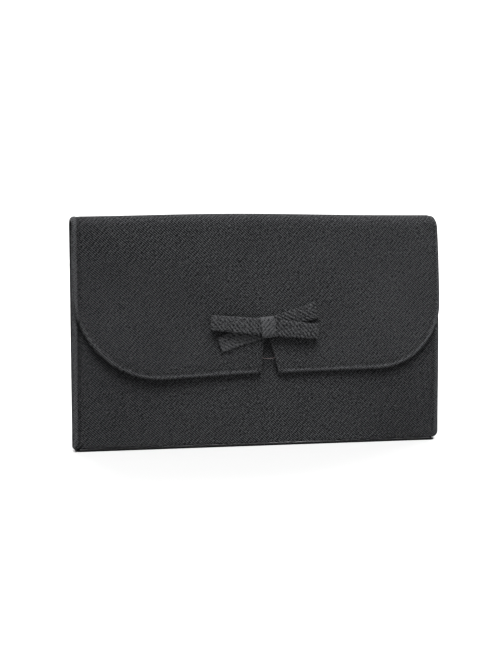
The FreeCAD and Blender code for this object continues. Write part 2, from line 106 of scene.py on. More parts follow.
class Profile:
    """Line in the YZ plane with rounded corners, measured along its length, with outward normals."""

    def __init__(self, corners, radii, side):
        points = [np.array(corners[0], float)]
        for before, corner, after, radius in zip(corners, corners[1:], corners[2:], radii):
            before, corner, after = (np.array(p, float) for p in (before, corner, after))
            inward, onward = unit(before - corner), unit(after - corner)
            turn = math.pi - math.acos(float(inward @ onward))
            reach = radius * math.tan(turn / 2)
            start, end = corner + inward * reach, corner + onward * reach
            centre = corner + unit(inward + onward) * radius / math.cos(turn / 2)
            steps = max(4, int(turn * radius / 0.15))
            for share in np.linspace(0, 1, steps):
                a, b = math.sin((1 - share) * turn), math.sin(share * turn)
                points.append(centre + ((start - centre) * a + (end - centre) * b) / math.sin(turn))
        points.append(np.array(corners[-1], float))
        self.points = np.array(points)
        runs = np.diff(self.points, axis=0)
        lengths = np.linalg.norm(runs, axis=1)
        self.along = np.concatenate([[0], np.cumsum(lengths)])
        direction = runs / lengths[:, None]
        direction = np.vstack([direction[:1], (direction[1:] + direction[:-1]) / 2, direction[-1:]])
        self.normals = np.stack([-direction[:, 1], direction[:, 0]], axis=1) * side

    def place(self, along, height):
        """(y, z) at a length along the profile and a height out from it."""
        spot = [np.interp(along, self.along, self.points[:, axis]) for axis in (0, 1)]
        normal = [np.interp(along, self.along, self.normals[:, axis]) for axis in (0, 1)]
        size = np.hypot(*normal)
        return spot[0] + height * normal[0] / size, spot[1] + height * normal[1] / size

    def at_height(self, z):
        """Length along the profile to its last crossing of a height."""
        below = np.nonzero((self.points[:-1, 1] - z) * (self.points[1:, 1] - z) <= 0)[0][-1]
        low, high = self.points[below, 1], self.points[below + 1, 1]
        share = 0 if high == low else (z - low) / (high - low)
        return self.along[below] + share * (self.along[below + 1] - self.along[below])


TOP_MIDDLE = (0.7, TOP)
BACK = Profile(
    [TOP_MIDDLE, (lean_out(OUTER, TOP, BACK_LEAN), TOP), (lean_out(OUTER, 0, BACK_LEAN), 0.0)],
    [BACK_RADIUS], 1)
FLAP_END = 20.0         # below the flap's lower edge
FLAP = Profile(
    [TOP_MIDDLE, (-lean_out(FLAP_OUTER, TOP, FRONT_LEAN), TOP),
     (-lean_out(FLAP_OUTER, FLAP_END, FRONT_LEAN), FLAP_END)],
    [FRONT_RADIUS], -1)
FRONT = Profile(
    [(-lean_out(OUTER, MOUTH, FRONT_LEAN), MOUTH), (-lean_out(OUTER, 0, FRONT_LEAN), 0.0)], [], -1)


def flap_along(up):
    """Length along the flap's profile to a height measured up the flap from the fold line."""
    return FLAP.at_height(HINGE_Z - FLAP_OUTER * math.sin(math.radians(FRONT_LEAN))
                          + up * math.cos(math.radians(FRONT_LEAN)))


# ---- soft shape
def smooth(value):
    value = np.clip(value, 0, 1)
    return value * value * (3 - 2 * value)


def arch(across, height):
    """The top fold stands a little higher left of its middle than at its ends."""
    crown, crown_at, crown_spread, ends = 1.6, -20, 72, -0.55
    rise = crown * np.exp(-((across - crown_at) / crown_spread) ** 2) + ends + 0.003 * across
    corner = 0
    for side, drop, width in ((1, 2.3, 5.5), (-1, 1.0, 5)):
        corner = corner + drop * np.clip((side * across - HALF + width) / width, 0, 1.1) ** 2
    return rise * smooth((height - 95) / 50) - corner * smooth((height - 128) / 20)


def settle(across, height):
    """Cloth fullness at the sides, and the upper right corner drawn in where the flap turns over."""
    fullness, drawn_in = 1.003, 2.9
    share = np.clip((height - 60) / 85, 0, 1.05) ** 1.8 * smooth((across - 50) / 70)
    return across * fullness - drawn_in * share


def flap_soft(across, along):
    """How far the flap stands off flat: slow waves, and lobes that lift a little at their edges."""
    slow, quick, left_lift, right_lift = 0.28, 0.18, 1.7, 0.35
    waves = slow * np.sin(across / 27 + 0.6) * np.sin(along / 33)
    waves = waves + quick * np.sin(across / 14 - along / 19)
    left = left_lift * smooth((along - 62) / 45) * smooth((-across - 8) / 60)
    right = right_lift * smooth((along - 70) / 38) * smooth((across - 20) / 60)
    return smooth((along - 18) / 50) * waves + left + right


def panel_soft(across, along):
    """How far the back and front panels stand off flat: slow waves that die out at the sides."""
    slow, quick = 0.22, 0.12
    waves = slow * np.sin(across / 31 + 1.1) * np.sin(along / 29 + 0.4)
    waves = waves + quick * np.sin(across / 13 + along / 17)
    return smooth((HALF - np.abs(across)) / 22) * waves


def on_back(across, along, height):
    y, z = BACK.place(along, height + panel_soft(across, along) * smooth((along - 14) / 20))
    return np.stack([settle(across, z), y, z + arch(across, z)], axis=1)


def on_flap(across, along, height):
    y, z = FLAP.place(along, height + flap_soft(across, along))
    return np.stack([settle(across, z), y, z + arch(across, z)], axis=1)


def on_front(across, along, height):
    y, z = FRONT.place(along, height + panel_soft(across, along) * smooth(along / 20))
    return np.stack([settle(across, z), y, z], axis=1)


# ---- flat outlines
class Outline:
    """Edge of a flat piece, as runs that can be drawn at any distance inside the edge."""

    def __init__(self, closed):
        self.closed = closed
        self.runs = []
        self.rim = []

    def add(self, draw, shares, rim):
        """A run, and how much of a turned rim it has at its start and end."""
        self.runs.append(draw)
        self.rim.append(rim[0] + (rim[1] - rim[0]) * shares)

    def line(self, start, end, step, rim=(1, 1)):
        """start and end are functions of the inset that give (across, along)."""
        length = np.linalg.norm(np.subtract(end(0), start(0)))
        shares = np.linspace(0, 1, max(2, round(length / step)) + 1)[:-1]

        def draw(inset):
            a, b = np.array(start(inset)), np.array(end(inset))
            return a + (b - a) * shares[:, None]
        self.add(draw, shares, rim)

    def arc(self, centre, radius, first, last, count, rim=(1, 1)):
        """centre and radius are functions of the inset; angles are in degrees, along is downward."""
        shares = np.linspace(0, 1, count + 1)[:-1]
        angles = np.radians(first + (last - first) * shares)

        def draw(inset):
            rim_points = np.stack([np.cos(angles), np.sin(angles)], axis=1)
            return np.array(centre(inset)) + radius(inset) * rim_points
        self.add(draw, shares, rim)

    def end(self, place):
        """Last point of an open outline."""
        self.runs.append(lambda inset: np.array([place(inset)]))
        self.rim.append(np.ones(1))

    def draw(self, inset):
        return np.vstack([run(inset) for run in self.runs])

    def rims(self):
        return np.concatenate(self.rim)


def spot(across, along, right=0, down=0):
    """Point that moves right and down with the inset."""
    return lambda inset: (across + right * inset, along + down * inset)


def flap_outline(top=0.0, closed=False):
    """The flap from the middle of the top, or a closed piece of it that starts lower."""
    edge = Outline(closed)
    fine, coarse = 0.8, 2.5           # steps round the rolled top, and elsewhere
    roll, beside_notch, start = 16.0 + top, 3, int(closed)
    wide = 1.3                        # the left side's rim is wider than the rest
    left_turn, right_turn = flap_along(LEFT_LOW + LEFT_RADIUS), flap_along(RIGHT_LOW + RIGHT_RADIUS)
    left_low, right_low, notch_low = flap_along(LEFT_LOW), flap_along(RIGHT_LOW), flap_along(NOTCH_LOW)
    apex_x, apex_s, apex_radius = NOTCH_APEX[0], flap_along(NOTCH_APEX[1]), 0.4
    left_foot = spot(NOTCH_LEFT - beside_notch, notch_low, -1, -1)
    left_tip, right_tip = spot(NOTCH_LEFT, notch_low, -1, -1), spot(NOTCH_RIGHT, notch_low, 1, -1)
    right_foot = spot(NOTCH_RIGHT + beside_notch, notch_low, 1, -1)
    edge.line(spot(-HALF, top, wide, start), spot(-HALF, roll, wide), fine)
    edge.line(spot(-HALF, roll, wide), spot(-HALF, left_turn, wide), coarse)
    edge.arc(spot(-HALF + LEFT_RADIUS, left_turn),
             lambda d: np.array([LEFT_RADIUS - wide * d, LEFT_RADIUS - d]), 180, 90, 40)
    edge.line(spot(-HALF + LEFT_RADIUS, left_low, 0, -1), left_foot, coarse)
    edge.line(left_foot, left_tip, 0.6, (1, 0))
    edge.line(left_tip, spot(apex_x - apex_radius, apex_s, -1), 1.5, (0, 0))
    edge.arc(spot(apex_x, apex_s), lambda d: apex_radius + d, 180, 360, 10, (0, 0))
    edge.line(spot(apex_x + apex_radius, apex_s, 1), right_tip, 1.5, (0, 0))
    edge.line(right_tip, right_foot, 0.6, (0, 1))
    edge.line(right_foot, spot(HALF - RIGHT_RADIUS, right_low, 0, -1), coarse)
    edge.arc(spot(HALF - RIGHT_RADIUS, right_turn), lambda d: RIGHT_RADIUS - d, 90, 0, 34)
    edge.line(spot(HALF, right_turn, -1), spot(HALF, roll, -1), coarse)
    edge.line(spot(HALF, roll, -1), spot(HALF, top, -1, start), fine)
    if closed:
        edge.line(spot(HALF, top, -1, start), spot(-HALF, top, wide, start), coarse)
    else:
        edge.end(spot(HALF, top, -1))
    return edge


def lower_corners(edge, foot, top):
    """Left side down, both rounded lower corners and right side up, for a panel with a plain foot."""
    step, least = 2.5, 0.03

    def left(d):
        return max(d, LEFT_CORNER)

    def right(d):
        return max(d, RIGHT_CORNER)
    edge.line(lambda d: (-HALF + d, top(d)), lambda d: (-HALF + d, foot - left(d)), step)
    edge.arc(lambda d: (-HALF + left(d), foot - left(d)), lambda d: max(LEFT_CORNER - d, least),
             180, 90, 8, (1, 0))
    edge.line(lambda d: (-HALF + left(d), foot - d), lambda d: (HALF - right(d), foot - d), step,
              (0, 0))
    edge.arc(lambda d: (HALF - right(d), foot - right(d)), lambda d: max(RIGHT_CORNER - d, least),
             90, 0, 8, (0, 1))
    edge.line(lambda d: (HALF - d, foot - right(d)), lambda d: (HALF - d, top(d)), step)


def back_outline():
    """The back from the middle of the top down to its foot."""
    edge = Outline(closed=False)
    roll = 14.0
    edge.line(spot(-HALF, 0, 1), spot(-HALF, roll, 1), 0.8)
    lower_corners(edge, BACK.at_height(BACK_FOOT), lambda d: roll)
    edge.line(spot(HALF, roll, -1), spot(HALF, 0, -1), 0.8)
    edge.end(spot(HALF, 0, -1))
    return edge


def front_outline():
    """The front panel, from its mouth down to its foot."""
    edge = Outline(closed=True)
    lower_corners(edge, FRONT.at_height(FRONT_FOOT), lambda d: d)
    edge.line(spot(HALF, 0, -1, 1), spot(-HALF, 0, 1, 1), 2.5)
    return edge


# ---- meshes
def new_object(name, verts, faces, material, uv=None, wear_and_painted_shading=None):
    """Smooth mesh object from millimetre points.

    uv is one (across, along) pair a vertex; the last argument lightens the cloth's tone there,
    and darkens it where negative: part wear, part painted highlight and painted shade.
    """
    mesh = bpy.data.meshes.new(name)
    mesh.from_pydata([tuple(v * MM) for v in np.asarray(verts, float)], [], faces)
    if uv is not None:
        layer = mesh.uv_layers.new(name="cloth")
        corners = np.zeros(len(mesh.loops), np.int32)
        mesh.loops.foreach_get("vertex_index", corners)
        layer.data.foreach_set("uv", (np.asarray(uv, float) * MM)[corners].astype(np.float32).ravel())
    if wear_and_painted_shading is not None:
        wear_and_painted_light = mesh.attributes.new("wear_and_painted_shading", "FLOAT", "POINT")
        wear_and_painted_light.data.foreach_set("value", np.asarray(wear_and_painted_shading, np.float32))
    mesh.polygons.foreach_set("use_smooth", [True] * len(mesh.polygons))
    mesh.materials.append(material)
    obj = bpy.data.objects.new(name, mesh)
    bpy.context.scene.collection.objects.link(obj)
    return obj


def face_outward(obj, direction=(0, 0, 0)):
    """Consistent normals; on an open cloth, those of its biggest faces point along direction."""
    work = bmesh.new()
    work.from_mesh(obj.data)
    bmesh.ops.recalc_face_normals(work, faces=work.faces)
    biggest = sorted(work.faces, key=lambda face: -face.calc_area())[:200]
    if sum(face.normal.dot(Vector(direction)) for face in biggest) < 0:
        bmesh.ops.reverse_faces(work, faces=work.faces)
    work.to_mesh(obj.data)
    work.free()
    return obj


def inside(points, polygon):
    """Which points are inside a closed polygon."""
    x, y = points[:, 0], points[:, 1]
    result = np.zeros(len(points), bool)
    following = np.roll(polygon, -1, axis=0)
    for (x0, y0), (x1, y1) in zip(polygon, following):
        if y0 == y1:
            continue
        crosses = (y0 > y) != (y1 > y)
        result ^= crosses & (x < (x1 - x0) * (y - y0) / (y1 - y0) + x0)
    return result


def fill_points(polygon, gap, rows):
    """Grid inside a polygon, away from its edge: columns every gap, rows where given."""
    columns = np.arange(-HALF, HALF + gap, gap)
    grid = np.array([(x + gap / 2 * (index % 2), s) for index, s in enumerate(rows) for x in columns])
    grid = grid[inside(grid, polygon)]
    clear = np.array([np.min(np.hypot(*(polygon - point).T)) for point in grid])
    return grid[clear > gap * 0.3]


def sheet_mesh(name, outline, columns, place, material, rows, outward, gap=4.0, flip=1, solid=False,
               tone=None):
    """Cloth piece: rings from inside its rim out and round its edge, and a filled middle.

    columns are (inset, height with a rim, height on a plain edge, tone with a rim: wear, painted
    highlight and painted shade) from the middle outwards. A solid piece is filled behind too, and its
    last ring has the first one's inset. tone gives a further tone of the cloth at (across, along),
    painted light and shade among it.
    """
    rims = outline.rims()
    flat = [outline.draw(inset) for inset, _, _, _ in columns]
    heights = [rims * with_rim + (1 - rims) * plain for _, with_rim, plain, _ in columns]
    count = len(rims)
    polygon = flat[0]
    if not outline.closed:
        across = np.arange(math.ceil(polygon[0][0] / 2) * 2 + 2, polygon[-1][0] - 1, 2.0)[::-1]
        top = np.array([(x, polygon[0][1]) for x in across])
        polygon = np.vstack([polygon, top])
    middle = fill_points(polygon, gap, rows)
    points = np.vstack([polygon, middle])
    edges = [(i, (i + 1) % len(polygon)) for i in range(len(polygon))]
    found = delaunay_2d_cdt([Vector(p) for p in points], edges, [], 1, 1e-6)
    origins = [origin[0] for origin in found[3]]
    extra = points[count:]
    flat_all = np.vstack([*flat, extra])
    height_all = np.concatenate([*heights, np.full(len(extra), columns[0][1])])
    verts = place(flat_all[:, 0], flat_all[:, 1], height_all)
    offset = count * (len(columns) - 1)
    faces = [[origins[i] + offset * (origins[i] >= count) for i in triangle] for triangle in found[2]]
    if solid:
        behind = len(flat_all) - count
        flat_all = np.vstack([flat_all, extra])
        low = np.full(len(extra), columns[-1][1])
        verts = np.vstack([verts, place(extra[:, 0], extra[:, 1], low)])
        faces += [[origins[i] + (offset if origins[i] < count else behind) for i in reversed(triangle)]
                  for triangle in found[2]]
    faces += grid_faces(len(columns), count, wrap=outline.closed)
    uv = flat_all * np.array([1, flip])
    # Rim tone: wear and painted highlight on the crown, painted shade in the groove
    wear_and_painted_light = [rims * shade for _, _, _, shade in columns]
    wear_and_painted_shading = np.concatenate([*wear_and_painted_light, np.zeros(len(flat_all) - len(wear_and_painted_light) * count)])
    # Further tone of the piece, with painted light and shade among it
    if tone is not None:
        wear_and_painted_shading += tone(flat_all[:, 0], flat_all[:, 1])
    return face_outward(new_object(name, verts, faces, material, uv, wear_and_painted_shading), outward)


def rim_columns(width, bulge, groove, depth, crease):
    """Turned edge: flat cloth, a stitched groove, a soft rim, the edge and a hem on the inside."""
    # Fourth values: the groove gets painted shade, and the crown is painted lighter, part wear and part
    # painted highlight
    return [
        (width + 3.0, 0.0, 0.0, 0),
        (width + 1.5, 0.0, 0.0, 0),
        (width + 0.8, -0.3 * groove, 0.0, 0.5 * crease),
        (width + 0.35, -0.85 * groove, 0.0, crease),
        (width, -groove, 0.0, crease),
        (width - 0.35, -0.75 * groove, 0.0, 0.8 * crease),
        (width - 0.8, 0.1 * bulge, 0.0, 0),
        (width * 0.6, 0.8 * bulge, 0.0, RIM_WEAR_AND_HIGHLIGHT),
        (width * 0.38, bulge, 0.0, RIM_WEAR_AND_HIGHLIGHT),
        (width * 0.2, 0.6 * bulge, -0.05, RIM_WEAR_AND_HIGHLIGHT),
        (0.35, -0.05, -0.15, 0),
    ] + [(inset, down, down, 0) for inset, down in (
        (0.1, -0.4), (0.0, -0.8), (0.0, 0.55 - depth), (0.12, 0.2 - depth), (0.5, -depth),
        (3.0, -depth))]


def lining_columns():
    """Lining: its edge is tucked under the cloth's hem."""
    return [(inset, height - LAYERS, height - LAYERS, 0)
            for inset, height in ((5.0, -0.15), (2.9, -0.15), (2.5, -0.12), (2.3, 0.05))]


# ---- materials
def node(tree, kind, **settings):
    made = tree.nodes.new(kind)
    for name, value in settings.items():
        setattr(made, name, value)
    return made


def math_node(tree, operation, *terms):
    made = node(tree, "ShaderNodeMath", operation=operation)
    for index, value in enumerate(terms):
        if isinstance(value, (int, float)):
            made.inputs[index].default_value = value
        else:
            tree.links.new(value, made.inputs[index])
    return made.outputs[0]


def new_material(name):
    material = bpy.data.materials.new(name)
    material.use_nodes = True
    tree = material.node_tree
    return material, tree, tree.nodes["Principled BSDF"]


def colour_ramp(tree, factor, stops):
    ramp = node(tree, "ShaderNodeValToRGB")
    while len(ramp.color_ramp.elements) < len(stops):
        ramp.color_ramp.elements.new(0.5)
    for element, (position, colour) in zip(ramp.color_ramp.elements, stops):
        element.position = position
        element.color = (*colour, 1)
    tree.links.new(factor, ramp.inputs[0])
    return ramp.outputs[0]


def set_inputs(made, values):
    for name, value in values.items():
        made.inputs[name].default_value = value


def noise(tree, vector, scale, detail=2.0, roughness=0.5):
    made = node(tree, "ShaderNodeTexNoise")
    set_inputs(made, {"Scale": scale, "Detail": detail, "Roughness": roughness})
    tree.links.new(vector, made.inputs["Vector"])
    return made.outputs["Fac"]


def finish_shader(tree, shader, colour, height, strength, distance, surface):
    """Base colour, bump (its distance in millimetres) and further inputs of a material."""
    tree.links.new(colour, shader.inputs["Base Color"])
    bump = node(tree, "ShaderNodeBump")
    set_inputs(bump, {"Strength": strength, "Distance": distance * MM})
    tree.links.new(height, bump.inputs["Height"])
    tree.links.new(bump.outputs[0], shader.inputs["Normal"])
    set_inputs(shader, surface)


def map_range(tree, value, low, high, to_low, to_high, kind="LINEAR"):
    """Range of a value mapped to another range."""
    made = node(tree, "ShaderNodeMapRange", interpolation_type=kind)
    for index, bound in enumerate((low, high, to_low, to_high), 1):
        made.inputs[index].default_value = bound
    tree.links.new(value, made.inputs[0])
    return made.outputs[0]


def twill(name, slope, pitch, dark, light, relief, wale, grain, cross):
    """Wool twill: ridges at an angle, floats across them, flecked yarn and fuzz.

    wale is how strongly the ridges show against the finer cross threads, grain how much the yarn's
    flecks show, and cross how much lighter the cross threads are.
    """
    material, tree, shader = new_material(name)
    uv = node(tree, "ShaderNodeUVMap", uv_map="cloth").outputs[0]
    split = node(tree, "ShaderNodeSeparateXYZ")
    tree.links.new(uv, split.inputs[0])
    u, v = split.outputs[0], split.outputs[1]
    float_pitch = 1.12

    def calc(*terms):
        return math_node(tree, *terms)

    def turned(first, second):
        """Place along a direction of the cloth."""
        return calc("ADD", calc("MULTIPLY", u, first), calc("MULTIPLY", v, second))
    sine, cosine = math.sin(math.radians(slope)), math.cos(math.radians(slope))
    across_wale, along_wale = turned(sine, cosine), turned(cosine, -sine)
    slow = calc("MULTIPLY_ADD", noise(tree, uv, 90.0), 0.7, -0.35)
    uneven = calc("MULTIPLY_ADD", noise(tree, uv, 520.0), 0.1, slow)

    def wave(place, spacing):
        """Stripes of a spacing in millimetres, not quite straight."""
        turns = calc("ADD", calc("MULTIPLY", place, 1 / (spacing * MM)), uneven)
        return calc("MULTIPLY_ADD", calc("COSINE", calc("MULTIPLY", turns, 2 * math.pi)), 0.5, 0.5)

    def streaks(fine_across, fine_along):
        """Yarn flecks, drawn out along one of the weave's two directions."""
        place = node(tree, "ShaderNodeCombineXYZ")
        tree.links.new(calc("MULTIPLY", across_wale, fine_across), place.inputs[0])
        tree.links.new(calc("MULTIPLY", along_wale, fine_along), place.inputs[1])
        return noise(tree, place.outputs[0], 1.0, 1.0)
    ridge, floats = wave(across_wale, pitch), wave(along_wale, float_pitch)
    fuzz, patch = noise(tree, uv, 1100.0, 1.0), noise(tree, uv, 26.0)
    along_floats, along_ridges = streaks(1500.0, 560.0), streaks(620.0, 1600.0)
    fleck = calc("MULTIPLY_ADD", along_floats, 0.5, calc("MULTIPLY", along_ridges, 0.5))
    height = calc("MULTIPLY_ADD", ridge, wale, calc("MULTIPLY", floats, 1 - wale))
    height = calc("MULTIPLY_ADD", fuzz, 0.5, height)
    tone = calc("MULTIPLY_ADD", height, 0.30, calc("MULTIPLY_ADD", fleck, grain, 0.29 - grain / 2))
    tone = calc("ADD", tone, calc("MULTIPLY_ADD", floats, cross, -0.055 - cross / 2))
    tone = calc("MULTIPLY_ADD", calc("SUBTRACT", patch, 0.5), 0.14, tone)
    # Per-vertex wear with painted highlight and painted shade: lightens the weave's tone, and darkens it
    # where negative
    wear_and_painted_shading = node(tree, "ShaderNodeAttribute", attribute_name="wear_and_painted_shading").outputs["Fac"]
    specks = map_range(tree, noise(tree, uv, 1300.0, 1.0), 0.60, 0.70, 0.0, 0.55)
    tone = calc("ADD", calc("ADD", tone, wear_and_painted_shading), specks)
    middle = tuple((a + b) / 2 for a, b in zip(dark, light))
    colour = colour_ramp(tree, tone, [(0.30, dark), (0.56, middle), (0.86, light)])
    finish_shader(tree, shader, colour, height, 1.0, relief, {
        "Roughness": 0.95, "Specular IOR Level": 0.12, "Sheen Weight": 0.08, "Sheen Roughness": 0.5})
    return material


def satin(name, colour):
    """Lining satin: fine warp lines and a soft sheen."""
    material, tree, shader = new_material(name)
    place = node(tree, "ShaderNodeTexCoord").outputs["Object"]
    fine, slow = noise(tree, place, 1800.0, 2.0, 0.6), noise(tree, place, 35.0)
    tone = math_node(tree, "MULTIPLY_ADD", slow, 0.4, math_node(tree, "MULTIPLY", fine, 0.6))
    stops = [(spot, tuple(c * share for c in colour)) for spot, share in ((0.25, 0.75), (0.75, 1.25))]
    finish_shader(tree, shader, colour_ramp(tree, tone, stops), tone, 0.4, 0.06,
                  {"Roughness": 0.42, "Sheen Weight": 0.2})
    return material


def speckled(name, dark, light, scale, roughness, relief, metallic=0.0):
    """Plain material with fine grain: board, felt, thread or brushed metal."""
    material, tree, shader = new_material(name)
    grain = noise(tree, node(tree, "ShaderNodeTexCoord").outputs["Object"], scale, 4.0, 0.65)
    colour = colour_ramp(tree, grain, [(0.3, dark), (0.7, light)])
    finish_shader(tree, shader, colour, grain, 0.5, relief,
                  {"Roughness": roughness, "Metallic": metallic})
    return material


WOOL = twill("wool_twill", 49, 2.07, (0.006, 0.0062, 0.0068), (0.076, 0.077, 0.080),
             relief=0.28, wale=0.70, grain=2.2, cross=0.58)
BOW_WOOL = twill("bow_twill", -45, 2.07, (0.009, 0.0092, 0.0098), (0.082, 0.083, 0.086),
                 relief=0.29, wale=0.76, grain=2.2, cross=0.06)
SATIN = satin("satin_lining", (0.016, 0.016, 0.018))
BOARD = speckled("grey_board", (0.13, 0.125, 0.115), (0.26, 0.25, 0.235), 420.0, 0.9, 0.05)
FELT = speckled("interlining", (0.035, 0.035, 0.035), (0.07, 0.07, 0.068), 900.0, 0.95, 0.1)
STEEL = speckled("closure_steel", (0.5, 0.5, 0.51), (0.66, 0.66, 0.67), 700.0, 0.35, 0.02, 1.0)
SEAM_THREAD = speckled("seam_thread", (0.012, 0.012, 0.013), (0.03, 0.03, 0.032), 2500.0, 0.7, 0.04)
PALE_THREAD = speckled("pale_thread", (0.12, 0.095, 0.095), (0.24, 0.19, 0.19), 2500.0, 0.6, 0.03)


# ---- the bag's cloth
def bend_top(obj):
    """Cloth over the top fold: its placement is baked into its mesh."""
    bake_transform(obj)


def hang(flap, back, front):
    """Three cloths: flap and back are baked in place, and the front is attached to the front body."""
    bend_top(flap)
    bend_top(back)
    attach(front, "front")


def profile_rows(length, roll):
    """Rows along a profile: close together over the rolled corner, wider below it."""
    return np.concatenate([np.arange(1.0, roll, 1.0), np.arange(roll, length, ROW_GAP)])


FLAP_EDGE, BACK_EDGE, FRONT_EDGE = flap_outline(), back_outline(), front_outline()
FLAP_ROWS = profile_rows(flap_along(LEFT_LOW), 16)
BACK_ROWS = profile_rows(BACK.at_height(BACK_FOOT), 14)
FRONT_ROWS = np.arange(4.0, FRONT.at_height(FRONT_FOOT), ROW_GAP)


def left_rim_tone(across):
    """The rim on the left is painted lighter, part wear and part painted highlight, and the groove
    beside it gets darker painted shade.
    """
    wear_and_painted_light = 0.12 * smooth((3.4 - HALF - across) / 0.8)
    return wear_and_painted_light + PAINTED_GROOVE_SHADE * np.exp(-((across + HALF - SIDE_RIM) / 0.6) ** 2)


def flap_tone(across, along):
    """Painted light on the flap: a little lighter to the right and along the top fold, where more light
    falls; the left rim's tone is added too.
    """
    return 0.012 + 0.04 * across / HALF + 0.03 * smooth((13 - along) / 6) + left_rim_tone(across)


def front_tone(across, along):
    """The front panel is a little darker towards its sides."""
    return 0.002 - 0.055 * smooth((np.abs(across) - 20) / 80) + left_rim_tone(across)


def make_cloth():
    """Outer cloth of the flap, back and front, with its turned rims."""
    # Rim crowns painted lighter, part wear and part painted highlight; back and front grooves get
    # painted shade
    flap_rim = rim_columns(FLAP_RIM, 0.45, 0.3, LAYERS, 0)
    flap = sheet_mesh("flap_cloth", FLAP_EDGE, flap_rim, on_flap, WOOL, FLAP_ROWS, (0, -1, 0),
                      tone=flap_tone)
    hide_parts("flap_cover", "flap_binding_left", "flap_binding_right")
    back_rim = rim_columns(SIDE_RIM, 0.45, 0.55, LAYERS, 0.5 * PAINTED_GROOVE_SHADE)
    back = sheet_mesh("back_cloth", BACK_EDGE, back_rim, on_back, WOOL, BACK_ROWS, (0, 1, 0), flip=-1)
    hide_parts("back_cover", "back_binding_left", "back_binding_right",
                "spine_cover", "spine_binding_left", "spine_binding_right")
    front_rim = rim_columns(SIDE_RIM, 0.45, 0.5, LAYERS, 0.2 * PAINTED_GROOVE_SHADE)
    front = sheet_mesh("front_cloth", FRONT_EDGE, front_rim, on_front, WOOL, FRONT_ROWS, (0, -1, 0),
                       tone=front_tone)
    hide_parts("front_cover", "front_binding_left", "front_binding_right", "mouth_binding")
    hang(flap, back, front)


def make_flap_board():
    """Stiffener inside the flap, which follows the cloth."""
    edge = ((4.0, -0.95), (3.4, -1.0), (3.2, -1.35), (3.4, -1.7), (4.0, -1.75))
    columns = [(inset, height, height, 0) for inset, height in edge]
    top, first_row = 18.0, 24.0
    board = sheet_mesh("flap_board_sheet", flap_outline(top, closed=True), columns, on_flap, BOARD,
                       np.arange(first_row, flap_along(LEFT_LOW), ROW_GAP), (0, 0, 0), solid=True)
    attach(board, "flap")
    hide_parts("flap_board")


def make_linings():
    """Satin inside the flap, back and front."""
    columns = lining_columns()
    flap = sheet_mesh("flap_lining", FLAP_EDGE, columns, on_flap, SATIN, FLAP_ROWS, (0, 1, 0))
    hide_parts("flap_facing")
    back = sheet_mesh("back_lining_cloth", BACK_EDGE, columns, on_back, SATIN, BACK_ROWS, (0, -1, 0))
    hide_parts("back_lining", "spine_lining")
    front = sheet_mesh("front_lining_cloth", FRONT_EDGE, columns, on_front, SATIN, FRONT_ROWS, (0, 1, 0))
    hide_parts("front_lining")
    hang(flap, back, front)


def grid_faces(rows, columns, wrap=False):
    """Quads of a grid of rows by columns; wrap joins each row's end to its start."""
    faces = []
    for row in range(rows - 1):
        for column in range(columns if wrap else columns - 1):
            following = (column + 1) % columns
            faces.append((row * columns + column, row * columns + following,
                          (row + 1) * columns + following, (row + 1) * columns + column))
    return faces


def rod_faces(rows, columns):
    """Faces of a closed rod: rings of points, and a cap at each end."""
    first = range(columns)
    last = range((rows - 1) * columns, rows * columns)
    return grid_faces(rows, columns, wrap=True) + [tuple(first), tuple(last)[::-1]]


def slab(front, behind):
    """Points and faces of a closed piece between two grids of points."""
    rows, columns = front.shape[:2]
    size = rows * columns
    faces = grid_faces(rows, columns)
    faces += [tuple(size + i for i in reversed(face)) for face in faces]
    border = [*range(columns), *range(2 * columns - 1, size, columns),
              *range(size - 2, size - columns - 1, -1),
              *range(size - 2 * columns, columns - 1, -columns)]
    faces += [(i, j, size + j, size + i) for i, j in zip(border, border[1:] + border[:1])]
    return np.vstack([front.reshape(-1, 3), behind.reshape(-1, 3)]), faces


def make_base():
    """Cloth strip the purse stands on, turned up at its long edges and tucked in at its ends."""
    depth, height, lip, roll = 3.1, 0.88, 1.12, 0.75
    section = [(depth - 0.5, height), (depth - 0.45, lip), (depth - 0.1, lip), (depth, lip - 0.1)]
    section += [(depth - roll + roll * math.cos(a), roll - roll * math.sin(a))
                for a in np.radians(np.linspace(0, 90, 7))]
    section += [(0.0, 0.0)]
    section += [(-y, z) for y, z in reversed(section[:-1])]
    left_end = [(-HALF + 0.9, 1.0), (-HALF + 1.8, 0.62), (-HALF + 3.2, 0.12), (-HALF + 4.2, 0.0)]
    right_end = [(HALF - 5.2, 0.0), (HALF - 4.0, 0.1), (HALF - 3.0, 0.45), (HALF - 2.3, 0.95)]
    middle = [(x, 0.0) for x in np.linspace(-HALF + 7, HALF - 8, 60)]
    stations, risen = zip(*left_end, *middle, *right_end)
    verts = [(x, y, z + rise * (1 - z / lip)) for x, rise in zip(stations, risen) for y, z in section]
    # The base strip is painted darker: painted shade under the purse
    point_gap, shade = 0.7, 1.5 * PAINTED_GROOVE_SHADE
    uv = [(x, index * point_gap) for x in stations for index in range(len(section))]
    base = new_object("base_cloth", verts, rod_faces(len(stations), len(section)), WOOL, uv,
                      [shade] * len(verts))
    face_outward(base, (0, 0, -1))
    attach(base, "back")
    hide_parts("base_cover")


